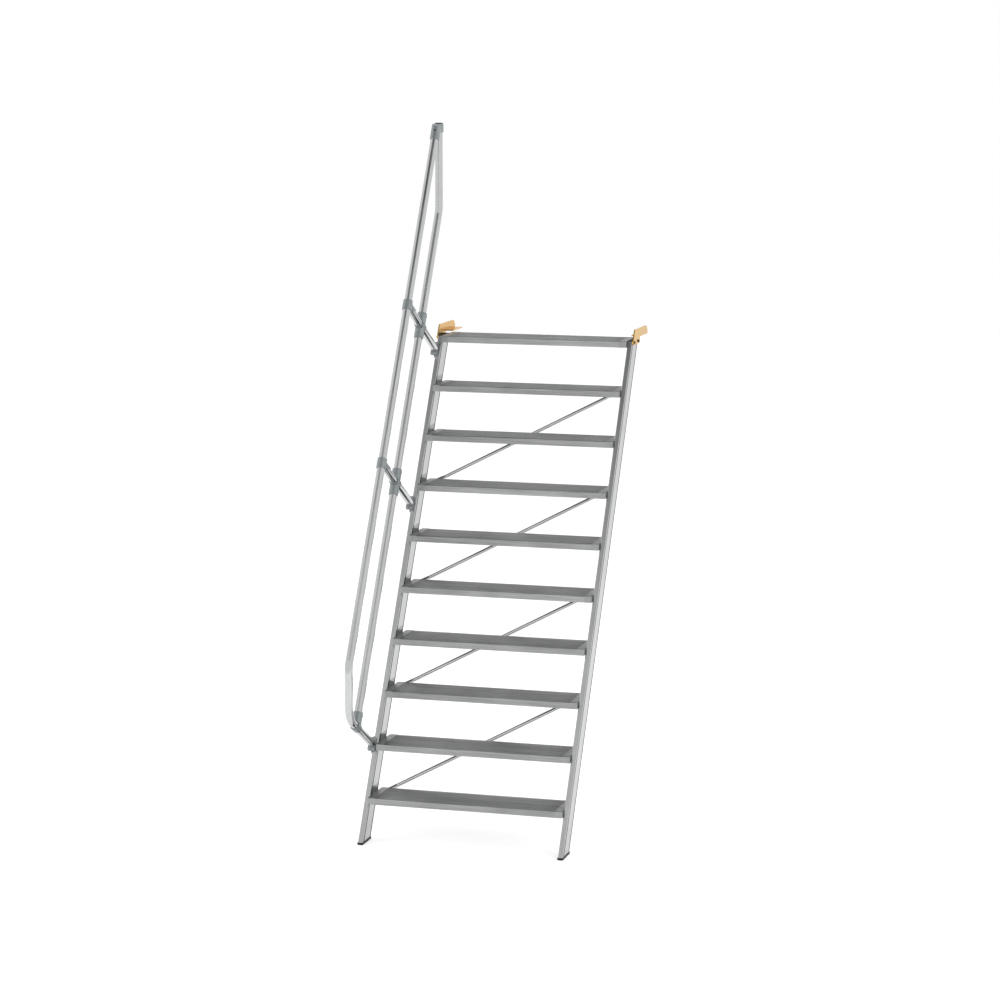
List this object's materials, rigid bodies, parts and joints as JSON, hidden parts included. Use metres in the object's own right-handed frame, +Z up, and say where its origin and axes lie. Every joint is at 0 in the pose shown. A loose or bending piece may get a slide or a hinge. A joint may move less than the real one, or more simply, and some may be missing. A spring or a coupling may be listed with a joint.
{
  "type": "industrial stair",
  "caption": "Steep aluminium industrial stair with raking stringers, ribbed treads, diagonal tie bars, a tube guard rail on one side and hook brackets for a landing.",
  "frame": {"origin": "middle of the underside of the left landing bracket's flange, where it lies on the landing", "axes": "+X to the right seen by someone about to climb, +Y back towards the landing, +Z up"},
  "size_m": [1.091, 1.8128, 3.5069],
  "materials": {
    "stringer": "mill finish, drawn lengthwise",
    "tread": "ribbed mill finish",
    "tread_casting": "fine cast",
    "rail_tube": "satin drawn tube",
    "rail_casting": "matt cast",
    "tie_bar": "satin drawn tube",
    "bracket_steel": "golden passivated zinc",
    "dark_bolt": "browned",
    "black_plastic": "matt",
    "cap_plastic": "satin"
  },
  "bodies": {
    "root": {"left_stringer": "stringer", "left_foot": "black_plastic", "left_stringer_cap": "cap_plastic", "left_tread_ends": "tread_casting", "left_landing_bracket": "bracket_steel", "left_leg_bolts": "dark_bolt", "right_stringer": "stringer", "right_foot": "black_plastic", "right_stringer_cap": "cap_plastic", "right_tread_ends": "tread_casting", "right_landing_bracket": "bracket_steel", "right_leg_bolts": "dark_bolt", "tread_01": "tread", "tread_02": "tread", "tread_03": "tread", "tread_04": "tread", "tread_05": "tread", "tread_06": "tread", "tread_07": "tread", "tread_08": "tread", "tread_09": "tread", "tread_10": "tread", "tie_bar_1": "tie_bar", "tie_bar_2": "tie_bar", "tie_bar_3": "tie_bar", "tie_bar_4": "tie_bar", "handrail": "rail_tube", "knee_rail": "rail_tube", "lower_post": "rail_tube", "lower_handrail_tee": "rail_casting", "lower_knee_cross": "rail_casting", "lower_post_bracket": "rail_casting", "upper_post": "rail_tube", "upper_handrail_tee": "rail_casting", "upper_knee_cross": "rail_casting", "upper_post_bracket": "rail_casting", "foot_post_bracket": "rail_casting", "knee_end_tee": "rail_casting", "top_elbow": "rail_casting", "rail_plug": "black_plastic"}
  },
  "joints": []
}
